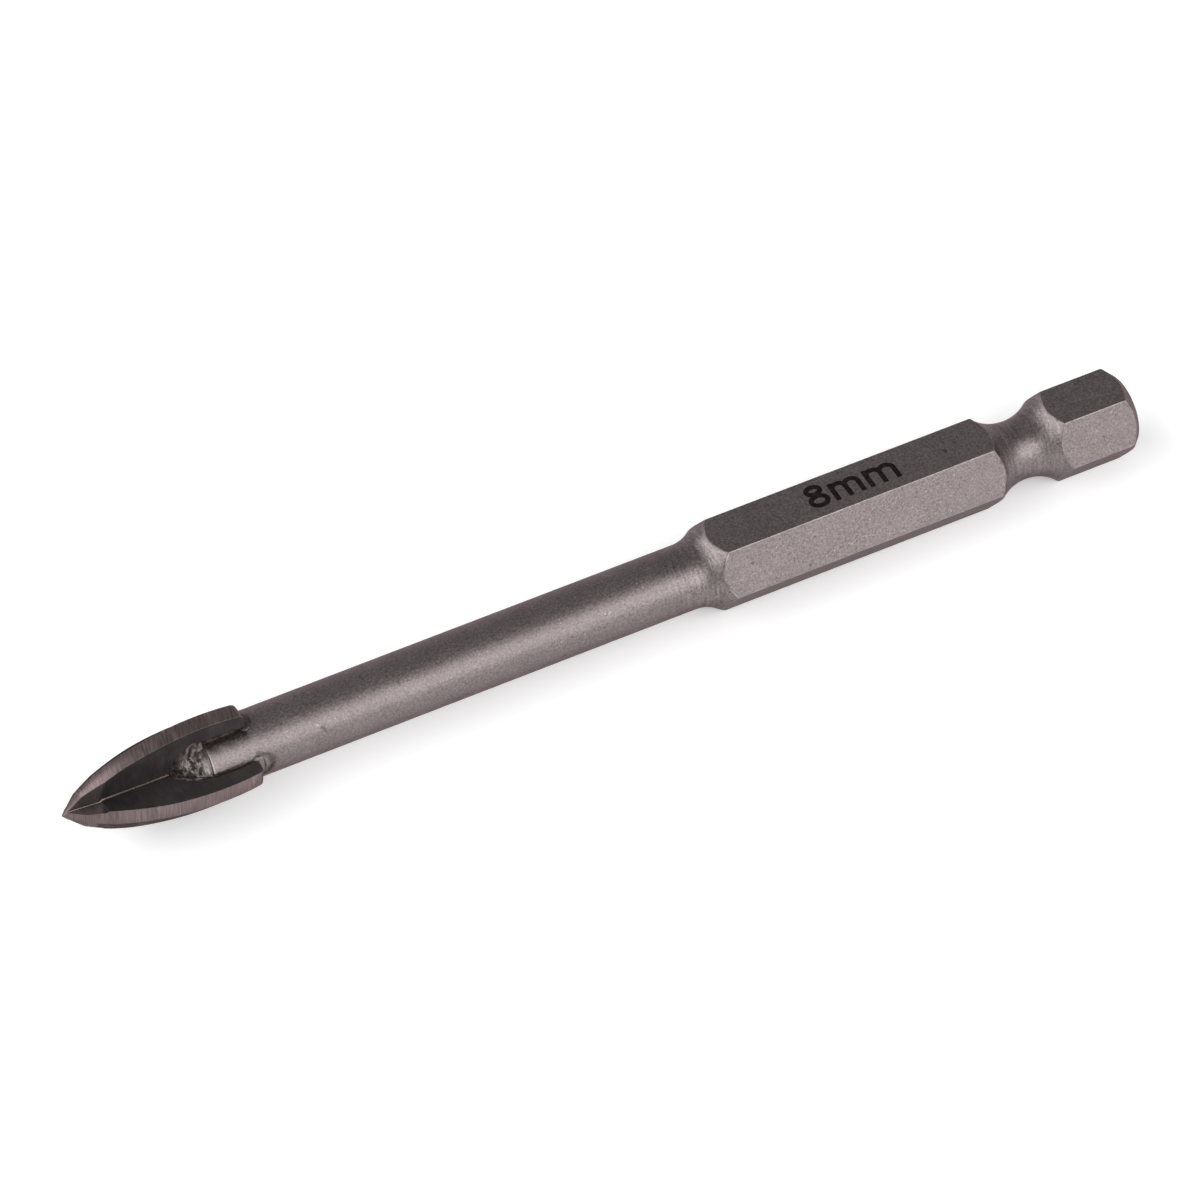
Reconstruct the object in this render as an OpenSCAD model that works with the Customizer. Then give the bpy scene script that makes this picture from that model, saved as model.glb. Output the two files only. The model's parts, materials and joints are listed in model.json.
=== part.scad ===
// Glass and tile drill bit: a one-piece steel body with a hex quick-change shank, and a
// cross-shaped carbide spear head brazed into slots milled across the nose of the body.
// The bit lies along X. The middle of the drive end face is the origin, the point looks
// towards -X, and one flat of the hex faces up. Right-hand cutting, sizes in millimetres.

/* [Overall] */
// Length from the drive end face to the point
overall_l = 88; // [70:0.5:140]

/* [Hex drive] */
// Distance across the flats of the hex
hex_af = 6.35; // [6:0.01:6.8]
// Length of the hex, from the drive end face to where its corners run out at the neck
hex_l = 34.9; // [22:0.1:50]
// Depth turned off the six corners of the hex, which breaks their edges
hex_edge_break = 0.04; // [0.01:0.01:0.3]
// Diameter of the flat drive end face inside its chamfer
end_face_d = 5.4; // [4:0.05:6]
// Angle of the drive end's chamfer, from the axis
end_chamfer_angle = 45; // [30:1:60]
// Distance from the drive end face to the middle of the ball groove
groove_pos = 9.3; // [8:0.1:13]
// Diameter at the bottom of the ball groove
groove_root_d = 4.65; // [4:0.05:5.5]
// Radius of the ball groove's hollow section
groove_arc_r = 4.1; // [2.5:0.1:6]

/* [Neck and round shank] */
// Diameter of the round shank
shank_d = 5.05; // [4.5:0.05:5.8]
// Angle of the neck's cone, from the axis
neck_angle = 34; // [20:1:50]
// Radius of the hollow fillet between the neck's cone and the round shank
neck_fillet_r = 3.1; // [1:0.1:5]

/* [Domed nose] */
// Distance from the point back to the step where the round shank ends
nose_pos = 11; // [9.5:0.1:13]
// Height of that step
nose_step = 0.1; // [0.02:0.01:0.4]
// Length of the domed nose in front of the step
nose_l = 2.9; // [1.5:0.1:4]
// Diameter of the nose's front end, which the head's core hides
nose_front_d = 1.7; // [1.2:0.05:2.2]
// Radius of the dome's section
nose_arc_r = 3.4; // [2.5:0.1:12]

/* [Carbide head] */
// Cutting diameter, over the leading edges of opposite blades
cut_d = 8; // [6.5:0.1:12]
// Length of the head from its point to the rear faces of its blades
head_l = 14.4; // [12:0.1:20]
// Thickness of a blade
blade_t = 1.3; // [0.8:0.05:1.8]
// Radius of the curved profile that the blades' lands follow
spear_arc_r = 19.5; // [14:0.1:40]
// Distance from the point back to the widest place of the head
spear_peak = 11.2; // [9:0.1:12]
// Angle between the axis and the straight flanks right at the point
point_half_angle = 44; // [35:1:55]
// Length over which the blades are ground thinner towards the point
gash_l = 2.75; // [1.5:0.05:4]
// Thickness that the sloped trailing faces of the blades aim at on the point
gash_edge_t = 0.3; // [0.1:0.05:0.6]
// Depth of the flat ground into the leading faces over that length
gash_lead_depth = 0.1; // [0.05:0.01:0.3]
// Length of the slope that ends this flat
gash_step_l = 0.15; // [0.05:0.05:0.4]
// Offset of a land's centre line towards its leading edge at the widest place, for relief
land_lean = 0.3; // [0.05:0.05:0.6]
// Radius in the four inner corners between the blades
valley_r = 0.12; // [0.05:0.01:0.3]
// Radius of the blades' outer rear corners
rear_corner_r = 0.6; // [0.2:0.05:1]
// Turn of the blades from the flats of the hex
head_turn = 7; // [0:1:45]

/* [Braze] */
// Width of the braze film between the head and the slots of the nose
braze_gap = 0.06; // [0.03:0.01:0.15]
// Radius of the bead of braze behind each blade
bead_r = 1.6; // [1.2:0.05:2]
// Height of that bead over the round shank
bead_proud = 0.14; // [0.05:0.01:0.4]

/* [Hidden] */
$fn = 128;
// Run past a surface that a cut goes through
past = 1;
blades = 4;
blade_turn = 360 / blades;

// Hex drive, neck and round shank, by distance from the drive end face
hex_sides = 6;
hex_turn = 180 / hex_sides;
hex_corner_r = hex_af / 2 / cos(hex_turn);
bar_r = hex_corner_r - hex_edge_break;
shank_r = shank_d / 2;
end_chamfer_l = (bar_r - end_face_d / 2) / tan(end_chamfer_angle);
neck_corner = [shank_r, hex_l + (bar_r - shank_r) / tan(neck_angle)];
neck_tangent_l = neck_fillet_r * tan(neck_angle / 2);
neck_on_shank = neck_corner + neck_tangent_l * [0, 1];
neck_on_cone = neck_corner + neck_tangent_l * [sin(neck_angle), -cos(neck_angle)];
neck_centre = neck_on_shank + neck_fillet_r * [1, 0];
groove_centre = [groove_root_d / 2 + groove_arc_r, groove_pos];

// Domed nose, by the chord that its arc stands on
nose_base = [shank_r - nose_step, overall_l - nose_pos];
nose_front = [nose_front_d / 2, nose_base[1] + nose_l];
nose_chord = nose_front - nose_base;
nose_chord_l = norm(nose_chord);
nose_inward = [-nose_chord[1], nose_chord[0]] / nose_chord_l;
nose_rise = sqrt(pow(nose_arc_r, 2) - pow(nose_chord_l / 2, 2));
nose_centre = (nose_base + nose_front) / 2 + nose_rise * nose_inward;

// Carbide head, by height from its point, which is at zero
blade_half_t = blade_t / 2;
gash_lead = blade_half_t - gash_lead_depth;
gash_end = gash_l + gash_step_l;
lean_angle = asin(land_lean / spear_peak);
land_r = sqrt(pow(cut_d / 2, 2) - 2 * blade_half_t * land_lean + pow(land_lean, 2));
spear_centre = [land_r - spear_arc_r, -spear_peak];
rear_centre_z = rear_corner_r - head_l;
rear_centre_reach = sqrt(pow(spear_arc_r - rear_corner_r, 2) - pow(rear_centre_z + spear_peak, 2));
rear_centre = [spear_centre[0] + rear_centre_reach, rear_centre_z];
rear_on_land = spear_centre + (rear_centre - spear_centre) * spear_arc_r / (spear_arc_r - rear_corner_r);

// Lays a shape that stands on the drive end down along the X axis
module lay_down() {
    rotate([0, -90, 0]) children();
}

// Puts a shape that has its point at zero on the front of the standing bit
module at_point() {
    translate([0, 0, overall_l]) rotate([0, 0, head_turn]) children();
}

// Half section of the body as it is turned, before the hex and the slots
module turned_section() {
    difference() {
        union() {
            polygon([
                [0, 0],
                [end_face_d / 2, 0],
                [bar_r, end_chamfer_l],
                [bar_r, hex_l],
                neck_on_cone,
                neck_centre,
                neck_on_shank,
                [shank_r, nose_base[1]],
                [0, nose_base[1]]
            ]);
            nose_section();
        }
        translate(neck_centre) circle(r = neck_fillet_r);
        translate(groove_centre) circle(r = groove_arc_r);
    }
}

// Half section of the dome, which reaches back past the step into the shank
module nose_section() {
    intersection() {
        translate(nose_centre) circle(r = nose_arc_r);
        translate([0, nose_base[1] - past]) square([nose_base[0], nose_l + past]);
    }
}

// Body as turned from hex bar, with no slots
module turned_body() {
    intersection() {
        rotate_extrude() turned_section();
        rotate([0, 0, hex_turn]) cylinder(r = hex_corner_r, h = nose_front[1] + past, $fn = hex_sides);
    }
}

// Round outline of the front of the body, which closes the slots on the outside
module front_outline() {
    rotate_extrude() intersection() {
        turned_section();
        translate([0, neck_on_shank[1]]) square([shank_r, nose_front[1] - neck_on_shank[1]]);
    }
}

// Cross of four arms with rounded inner corners, grown by a margin on every side
module cross_section(grown, reach) {
    half_t = blade_half_t + grown;
    for (turn = [0, blade_turn]) {
        rotate(turn) square([2 * reach, 2 * half_t], center = true);
    }
    valley_sections(half_t);
}

// Rounded fillings of the four inner corners of a cross
module valley_sections(half_t) {
    for (turn = [0:blade_turn:360 - blade_turn]) {
        rotate(turn) translate([half_t, half_t]) difference() {
            square(valley_r);
            translate([valley_r, valley_r]) circle(r = valley_r);
        }
    }
}

// Slots across the nose, with room for the braze
module slots() {
    slot_floor = -head_l - braze_gap;
    translate([0, 0, slot_floor]) linear_extrude(-slot_floor) cross_section(braze_gap, shank_r + past);
}

// Half section that the lands follow: straight point, curved flank, rounded rear corner
module spear_section() {
    difference() {
        intersection() {
            translate(spear_centre) circle(r = spear_arc_r, $fn = 4 * $fn);
            polygon([
                [0, 0],
                [(head_l + past) * tan(point_half_angle), -head_l - past],
                [0, -head_l - past]
            ]);
        }
        rear_corner_section();
    }
}

// What the rounding takes off the outer rear corner of a blade
module rear_corner_section() {
    out = land_r + past;
    bottom = -head_l - 2 * past;
    difference() {
        polygon([
            rear_centre,
            rear_on_land,
            [out, rear_on_land[1]],
            [out, bottom],
            [rear_centre[0], bottom]
        ]);
        translate(rear_centre) circle(r = rear_corner_r);
    }
}

// Blade towards +X: a plate thinned towards the point, with its land ground to relief
module blade() {
    intersection() {
        rotate([90, 0, 90]) linear_extrude(cut_d / 2 + past) polygon([
            [-gash_edge_t / 2, 0],
            [-blade_half_t, -gash_l],
            [-blade_half_t, -head_l],
            [blade_half_t, -head_l],
            [blade_half_t, -gash_end],
            [gash_lead, -gash_l],
            [gash_lead, 0]
        ]);
        rotate([lean_angle, 0, 0]) rotate_extrude() spear_section();
    }
}

// Four blades on one core, with rounded valleys behind the thinned point
module head() {
    for (turn = [0:blade_turn:360 - blade_turn]) {
        rotate([0, 0, turn]) blade();
    }
    intersection() {
        translate([0, 0, -head_l]) linear_extrude(head_l - gash_end) valley_sections(blade_half_t);
        rotate_extrude() spear_section();
    }
}

// Drops of braze where the slots end, behind the blades
module beads() {
    for (turn = [0:blade_turn:360 - blade_turn]) {
        rotate([0, 0, turn]) translate([shank_r + bead_proud - bead_r, 0, -head_l]) sphere(r = bead_r);
    }
}

// Steel body: hex drive, ball groove, neck, round shank and slotted dome
module steel_shank() {
    color([0.53, 0.50, 0.50]) lay_down() difference() {
        turned_body();
        at_point() slots();
    }
}

// Cross-shaped carbide spear head
module carbide_head() {
    color([0.24, 0.22, 0.23]) lay_down() at_point() head();
}

// Braze between head and slots, with a bead behind each blade
module braze_film() {
    color([0.42, 0.31, 0.20]) lay_down() difference() {
        union() {
            intersection() {
                at_point() slots();
                union() {
                    front_outline();
                    at_point() beads();
                }
            }
            difference() {
                at_point() beads();
                front_outline();
            }
        }
        at_point() head();
    }
}

steel_shank();
carbide_head();
braze_film();
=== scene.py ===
"""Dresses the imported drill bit: blasted steel body, carbide spear head, braze and size mark."""

import json
import logging
import math
from dataclasses import dataclass
from enum import Enum
from typing import Callable, NamedTuple

import bmesh
import bpy
import numpy as np
from mathutils import Matrix, Vector, noise
from mathutils.geometry import delaunay_2d_cdt

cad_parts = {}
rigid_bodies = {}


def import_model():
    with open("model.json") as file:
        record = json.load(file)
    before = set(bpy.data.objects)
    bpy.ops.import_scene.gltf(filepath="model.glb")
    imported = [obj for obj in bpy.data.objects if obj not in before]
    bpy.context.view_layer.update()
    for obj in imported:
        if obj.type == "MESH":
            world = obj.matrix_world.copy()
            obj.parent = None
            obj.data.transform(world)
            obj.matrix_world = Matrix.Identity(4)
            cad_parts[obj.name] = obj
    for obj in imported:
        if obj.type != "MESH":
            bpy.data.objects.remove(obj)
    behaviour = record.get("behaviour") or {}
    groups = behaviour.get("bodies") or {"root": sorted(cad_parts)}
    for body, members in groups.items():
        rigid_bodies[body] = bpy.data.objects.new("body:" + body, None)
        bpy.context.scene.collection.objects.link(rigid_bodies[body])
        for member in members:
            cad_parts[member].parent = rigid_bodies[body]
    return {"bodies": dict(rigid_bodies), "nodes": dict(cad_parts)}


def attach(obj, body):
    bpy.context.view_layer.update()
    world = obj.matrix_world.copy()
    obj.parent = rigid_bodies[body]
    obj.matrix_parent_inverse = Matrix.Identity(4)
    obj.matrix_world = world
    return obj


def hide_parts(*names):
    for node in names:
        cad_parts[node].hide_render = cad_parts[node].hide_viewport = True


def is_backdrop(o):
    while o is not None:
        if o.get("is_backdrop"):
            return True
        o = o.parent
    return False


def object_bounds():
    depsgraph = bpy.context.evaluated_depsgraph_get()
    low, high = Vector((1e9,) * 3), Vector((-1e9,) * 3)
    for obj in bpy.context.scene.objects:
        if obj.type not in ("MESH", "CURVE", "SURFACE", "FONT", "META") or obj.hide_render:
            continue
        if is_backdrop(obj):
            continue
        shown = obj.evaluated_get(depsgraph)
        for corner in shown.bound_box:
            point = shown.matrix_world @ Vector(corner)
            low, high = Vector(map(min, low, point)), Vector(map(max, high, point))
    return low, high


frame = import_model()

LOG = logging.getLogger("drill_bit")
MM = 0.001
BODY = "root"
VALUE = "NodeSocketFloat"
VECTOR = "NodeSocketVector"
POINT_X = -0.088
STEP_X = -0.077
BLADES = 4
QUARTER = math.pi / 2
HEAD_TURN = math.radians(7.0)
Colour = tuple[float, float, float]
Loop = list[tuple[float, float]]
Number = float | np.ndarray
Socket = bpy.types.NodeSocket


class NodeSheet:
    """Places and links the nodes of one material, world or node group."""

    def __init__(self, tree: bpy.types.NodeTree) -> None:
        """Keeps the tree that the nodes go to."""
        self.tree = tree

    def add(self, kind: str, **settings: object) -> bpy.types.Node:
        """Adds a node.

        Args:
            kind: Blender's node type.
            settings: attributes set on the node.

        Returns:
            The new node.
        """
        node = self.tree.nodes.new(kind)
        for name, value in settings.items():
            setattr(node, name, value)
        return node

    def plug(self, target: Socket, value: object) -> None:
        """Links a socket to the target, or sets a plain value on it.

        Args:
            target: input socket that receives the value.
            value: output socket, number or tuple.
        """
        if isinstance(value, Socket):
            self.tree.links.new(value, target)
        elif isinstance(value, tuple) and len(value) == 3 and target.type == "RGBA":
            target.default_value = (*value, 1.0)
        else:
            target.default_value = value

    def fill(self, node: bpy.types.Node, values: dict[str | int, object]) -> bpy.types.Node:
        """Plugs values into the inputs of a node, by name or number, and returns the node."""
        for key, value in values.items():
            self.plug(node.inputs[key], value)
        return node

    def math(self, operation: str, first: object, second: object) -> Socket:
        """Runs a Math node on two sockets or numbers and returns the result's socket."""
        node = self.add("ShaderNodeMath", operation=operation)
        return self.fill(node, {0: first, 1: second}).outputs[0]

    def stretch(self, coords: Socket, scale: object) -> Socket:
        """Multiplies coordinates by a scale for each axis and returns the socket."""
        node = self.add("ShaderNodeVectorMath", operation="MULTIPLY")
        return self.fill(node, {0: coords, 1: scale}).outputs[0]

    def noise(self, coords: Socket, scale: object, detail: float) -> Socket:
        """Adds a noise texture.

        Args:
            coords: coordinates it is read at.
            scale: cells in a metre.
            detail: octaves of finer noise.

        Returns:
            The noise value's socket.
        """
        node = self.add("ShaderNodeTexNoise")
        self.fill(node, {"Vector": coords, "Scale": scale, "Detail": detail})
        return node.outputs["Fac"]

    def remap(
        self, value: object, low: object, high: object, start: float = 0.0, end: float = 1.0
    ) -> Socket:
        """Maps a range smoothly to another.

        Args:
            value: value to map.
            low: value that gives start.
            high: value that gives end.
            start: result at low.
            end: result at high.

        Returns:
            The mapped value's socket.
        """
        node = self.add("ShaderNodeMapRange", interpolation_type="SMOOTHSTEP")
        self.fill(node, {"Value": value, "From Min": low, "From Max": high})
        return self.fill(node, {"To Min": start, "To Max": end}).outputs["Result"]

    def blend(self, share: object, first: object, second: object) -> Socket:
        """Mixes two colours.

        Args:
            share: share of the second colour.
            first: colour or socket.
            second: colour or socket.

        Returns:
            The mixed colour's socket.
        """
        node = self.add("ShaderNodeMix", data_type="RGBA")
        return self.fill(node, {0: share, 6: first, 7: second}).outputs[2]

    def shade(self, colour: object, tone: Socket) -> Socket:
        """Multiplies a colour by a tone near one and returns the socket."""
        node = self.add("ShaderNodeVectorMath", operation="SCALE")
        return self.fill(node, {0: colour, "Scale": tone}).outputs[0]

    def ramp(self, value: Socket, stops: list[tuple[float, Colour]]) -> Socket:
        """Turns a value into colours.

        Args:
            value: value from 0 to 1.
            stops: places and their colours.

        Returns:
            The colour's socket.
        """
        node = self.add("ShaderNodeValToRGB")
        bar = node.color_ramp.elements
        while len(bar) < len(stops):
            bar.new(0.5)
        for element, (place, colour) in zip(bar, stops):
            element.position = place
            element.color = (*colour, 1.0)
        return self.fill(node, {0: value}).outputs[0]

    def attribute(self, name: str) -> Socket:
        """Reads a vertex attribute and returns its value's socket."""
        return self.add("ShaderNodeAttribute", attribute_name=name).outputs["Fac"]

    def coords(self) -> Socket:
        """Returns the socket of coordinates in metres in the frame of the bit."""
        return self.add("ShaderNodeTexCoord").outputs["Object"]

    def axis(self, coords: Socket, number: int) -> Socket:
        """Returns the socket of one axis of the coordinates."""
        return self.fill(self.add("ShaderNodeSeparateXYZ"), {0: coords}).outputs[number]

    def turn(self, coords: Socket, angle: float) -> Socket:
        """Turns coordinates about Z, by an angle in radians, and returns the socket."""
        node = self.add("ShaderNodeVectorRotate", rotation_type="Z_AXIS")
        return self.fill(node, {"Vector": coords, "Angle": angle}).outputs[0]

    def bump(self, height: Socket, strength: float, depth: float, normal: object = None) -> Socket:
        """Adds a bump.

        Args:
            height: height from 0 to 1.
            strength: how much of it shows.
            depth: depth of a height of 1, in metres.
            normal: normal that it starts from.

        Returns:
            The bumped normal's socket.
        """
        node = self.add("ShaderNodeBump")
        self.fill(node, {"Strength": strength, "Distance": depth, "Height": height})
        if normal is not None:
            self.plug(node.inputs["Normal"], normal)
        return node.outputs["Normal"]


class Effect(Enum):
    """Effects that more than one finish uses."""

    BLAST_GRAIN = "blast_grain"
    # Rubbed edges, and also the painted highlight along the step to the dome
    EDGE_WEAR = "edge_wear"
    TOOL_LINES = "tool_lines"
    MOTTLE = "mottle"


class EffectShelf:
    """Builds the node group of each shared effect once."""

    def __init__(self) -> None:
        """Starts with no groups."""
        self._groups: dict[Effect, bpy.types.NodeTree] = {}

    def get(self, effect: Effect) -> bpy.types.NodeTree:
        """Returns the group of an effect, and makes it at first use."""
        if effect not in self._groups:
            self._groups[effect] = getattr(self, f"_{effect.value}")(effect.value)
        return self._groups[effect]

    @staticmethod
    def _group(
        name: str, inputs: dict[str, str], outputs: list[str]
    ) -> tuple[NodeSheet, dict[str, Socket], dict[str, Socket]]:
        """Starts a group.

        Args:
            name: name of the group.
            inputs: its inputs and their socket types, besides the coordinates.
            outputs: its value outputs.

        Returns:
            The sheet, the input sockets and the output sockets by name.
        """
        tree = bpy.data.node_groups.new(name, "ShaderNodeTree")
        inputs = {"Coords": VECTOR, **inputs}
        for label, kind in inputs.items():
            tree.interface.new_socket(label, in_out="INPUT", socket_type=kind)
        for label in outputs:
            tree.interface.new_socket(label, in_out="OUTPUT", socket_type=VALUE)
        sheet = NodeSheet(tree)
        given = sheet.add("NodeGroupInput").outputs
        result = sheet.add("NodeGroupOutput").inputs
        return sheet, {k: given[k] for k in inputs}, {k: result[k] for k in outputs}

    @staticmethod
    def _tone(sheet: NodeSheet, height: Socket, contrast: Socket) -> Socket:
        """Turns a height round one half into a tone round one and returns its socket."""
        swing = sheet.math("MULTIPLY", sheet.math("SUBTRACT", height, 0.5), contrast)
        return sheet.math("ADD", swing, 1.0)

    def _blast_grain(self, name: str) -> bpy.types.NodeTree:
        """Makes the grain of a blasted surface: tone near 1, height, and rare bright specks."""
        sheet, given, result = self._group(
            name, {"Cells": VALUE, "Contrast": VALUE}, ["Tone", "Height", "Speck"]
        )
        at, cells = given["Coords"], given["Cells"]
        coarse = sheet.math("MULTIPLY", sheet.noise(at, cells, 2.0), 0.62)
        fine = sheet.noise(at, sheet.math("MULTIPLY", cells, 2.3), 1.0)
        height = sheet.math("ADD", coarse, sheet.math("MULTIPLY", fine, 0.38))
        rare = sheet.noise(at, sheet.math("MULTIPLY", cells, 0.7), 0.0)
        sheet.plug(result["Tone"], self._tone(sheet, height, given["Contrast"]))
        sheet.plug(result["Height"], height)
        sheet.plug(result["Speck"], sheet.remap(rare, 0.76, 0.86))
        return sheet.tree

    def _edge_wear(self, name: str) -> bpy.types.NodeTree:
        """Makes the broken bright line that rubbed edges show, and the painted highlight along the
        step to the dome.
        """
        sheet, given, result = self._group(name, {"Edge": VALUE, "Cells": VALUE}, ["Mask"])
        broken = sheet.math("SUBTRACT", sheet.noise(given["Coords"], given["Cells"], 3.0), 0.5)
        near = sheet.math("ADD", given["Edge"], sheet.math("MULTIPLY", broken, 1.3))
        sheet.plug(result["Mask"], sheet.remap(near, 0.35, 0.95))
        return sheet.tree

    def _tool_lines(self, name: str) -> bpy.types.NodeTree:
        """Makes the fine lines that a turning tool or a grinding wheel leaves."""
        sheet, given, result = self._group(
            name, {"Cells": VECTOR, "Contrast": VALUE}, ["Tone", "Height"]
        )
        lines = sheet.noise(sheet.stretch(given["Coords"], given["Cells"]), 1.0, 2.0)
        sheet.plug(result["Tone"], self._tone(sheet, lines, given["Contrast"]))
        sheet.plug(result["Height"], lines)
        return sheet.tree

    def _mottle(self, name: str) -> bpy.types.NodeTree:
        """Makes soft patches, as stains and flux leave them."""
        sheet, given, result = self._group(
            name, {"Cells": VALUE, "Low": VALUE, "High": VALUE}, ["Mask"]
        )
        patches = sheet.noise(given["Coords"], given["Cells"], 3.0)
        sheet.plug(result["Mask"], sheet.remap(patches, given["Low"], given["High"]))
        return sheet.tree


class FinishSheet(NodeSheet):
    """Node sheet of one metal finish, with its shader and the shared effects at hand."""

    def __init__(self, tree: bpy.types.NodeTree, shelf: EffectShelf) -> None:
        """Starts the sheet.

        Args:
            tree: empty node tree of the material.
            shelf: shared effects.
        """
        super().__init__(tree)
        self.shelf = shelf
        self.shader = self.add("ShaderNodeBsdfPrincipled")
        self.at = self.coords()
        out = self.add("ShaderNodeOutputMaterial")
        self.plug(out.inputs["Surface"], self.shader.outputs[0])

    def effect(
        self, effect: Effect, coords: Socket | None = None, **values: object
    ) -> bpy.types.bpy_prop_collection:
        """Places a shared effect.

        Args:
            effect: which effect.
            coords: coordinates it is read at, if not those of the bit.
            values: its other inputs by name.

        Returns:
            Its outputs.
        """
        node = self.add("ShaderNodeGroup", node_tree=self.shelf.get(effect))
        self.plug(node.inputs["Coords"], self.at if coords is None else coords)
        return self.fill(node, {k.capitalize(): v for k, v in values.items()}).outputs

    def grain(self, cells: float, contrast: float) -> bpy.types.bpy_prop_collection:
        """Returns the tone, height and specks of a blasted grain."""
        return self.effect(Effect.BLAST_GRAIN, cells=cells, contrast=contrast)

    def patches(
        self, cells: float, low: float, high: float, coords: Socket | None = None
    ) -> Socket:
        """Places soft patches.

        Args:
            cells: patches in a metre.
            low: noise where a patch starts.
            high: noise where it is full.
            coords: coordinates they are read at, if not those of the bit.

        Returns:
            The mask's socket.
        """
        return self.effect(Effect.MOTTLE, coords, cells=cells, low=low, high=high)["Mask"]

    def wear_and_highlight(self, cells: float) -> Socket:
        """Returns the mask of rubbed edges and of the painted highlight at the step, broken into
        cells in a metre.
        """
        edge = self.attribute("edge")
        return self.effect(Effect.EDGE_WEAR, edge=edge, cells=cells)["Mask"]

    def cover(self, colour: object, layers: list[tuple[float, Socket, Colour]]) -> Socket:
        """Lays colours over each other.

        Args:
            colour: colour below.
            layers: strength, mask and colour of each layer, from below.

        Returns:
            The covered colour's socket.
        """
        for strength, mask, layer in layers:
            colour = self.blend(self.math("MULTIPLY", mask, strength), colour, layer)
        return colour

    def rough(self, height: Socket, middle: float) -> Socket:
        """Returns a roughness that follows a height round a middle value."""
        return self.remap(height, 0.3, 0.7, middle - 0.05, middle + 0.06)

    def finish(self, colour: Socket, rough: Socket, normal: Socket) -> None:
        """Plugs colour, roughness and normal into the shader."""
        self.fill(self.shader, {"Base Color": colour, "Roughness": rough, "Normal": normal})


def empty_tree(owner: bpy.types.Material | bpy.types.World) -> bpy.types.NodeTree:
    """Returns the node tree of a new material or world, with no nodes."""
    owner.use_nodes = True
    owner.node_tree.nodes.clear()
    return owner.node_tree


@dataclass(frozen=True)
class MetalFinish:
    """Base of the metal finishes: one Principled shader that each finish feeds."""

    name: str
    metallic: float = 1.0
    grazing: Colour = (0.47, 0.415, 0.445)
    gloss: float = 0.5

    def make(self, shelf: EffectShelf) -> bpy.types.Material:
        """Makes the material.

        Args:
            shelf: shared effects.

        Returns:
            The new material.
        """
        material = bpy.data.materials.new(self.name)
        sheet = FinishSheet(empty_tree(material), shelf)
        shader = sheet.shader
        shader.inputs["Metallic"].default_value = self.metallic
        shader.inputs["Specular Tint"].default_value = (*self.grazing, 1.0)
        shader.inputs["Specular IOR Level"].default_value = self.gloss
        self.feed(sheet)
        return material

    def feed(self, sheet: FinishSheet) -> None:
        """Links colour, roughness and normal to the shader; each finish has its own."""
        raise NotImplementedError


@dataclass(frozen=True)
class BlastedSteel(MetalFinish):
    """Satin blasted steel with rubbed edges, turning lines and heat stains by the braze, plus a
    painted highlight at the step and painted shade behind the upper blade.
    """

    name: str = "blasted_steel"
    colour: Colour = (0.197, 0.167, 0.167)
    # Colour of rubbed edges and scratches, also used for the painted highlight at the step
    rubbed_and_highlight: Colour = (0.38, 0.335, 0.33)
    # Colour of stains and pits, also used for the painted shade behind the upper blade
    stain: Colour = (0.030, 0.024, 0.021)
    flux: Colour = (0.24, 0.21, 0.197)
    roughness: float = 0.41
    turned_gloss: float = 0.07
    line_cells: tuple[float, float, float] = (7000.0, 620.0, 620.0)
    drawn_out: tuple[float, float, float] = (0.07, 1.0, 1.0)

    def feed(self, sheet: FinishSheet) -> None:
        """Links the blasted grain, turning lines, rubbed edges with a painted highlight, and
        stains with painted shade.

        Args:
            sheet: node sheet of the material.
        """
        grain = sheet.grain(cells=6400.0, contrast=2.2)
        lines = sheet.effect(Effect.TOOL_LINES, cells=self.line_cells, contrast=1.2)
        turned = sheet.attribute("turned")
        colour = sheet.shade(self.colour, grain["Tone"])
        colour = sheet.blend(turned, colour, sheet.shade(colour, lines["Tone"]))
        dull = sheet.patches(cells=420.0, low=0.36, high=0.66)
        colour = sheet.shade(colour, sheet.remap(dull, 0.0, 1.0, 0.97, 1.02))
        pits = sheet.patches(cells=1100.0, low=0.69, high=0.74)
        along = sheet.stretch(sheet.at, self.drawn_out)
        scratches = sheet.patches(cells=5200.0, low=0.70, high=0.77, coords=along)
        layers = [
            (0.5, pits, self.stain),
            (0.35, scratches, self.rubbed_and_highlight),
            (0.6, grain["Speck"], self.rubbed_and_highlight),
            # Rubbed edges, and a painted highlight along the step to the dome
            (0.9, sheet.wear_and_highlight(cells=1500.0), self.rubbed_and_highlight),
            (1.0, sheet.attribute("flux"), self.flux),
            # Heat stains, and painted shade behind the upper blade
            (1.0, sheet.attribute("soot_and_shade"), self.stain),
        ]
        smoother = sheet.math("MULTIPLY", turned, self.turned_gloss)
        rough = sheet.math("SUBTRACT", sheet.rough(grain["Height"], self.roughness), smoother)
        normal = sheet.bump(grain["Height"], 1.0, 0.00003)
        groove = sheet.math("MULTIPLY", lines["Height"], turned)
        normal = sheet.bump(groove, 0.12, 0.00002, normal)
        sheet.finish(sheet.cover(colour, layers), rough, normal)


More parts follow.
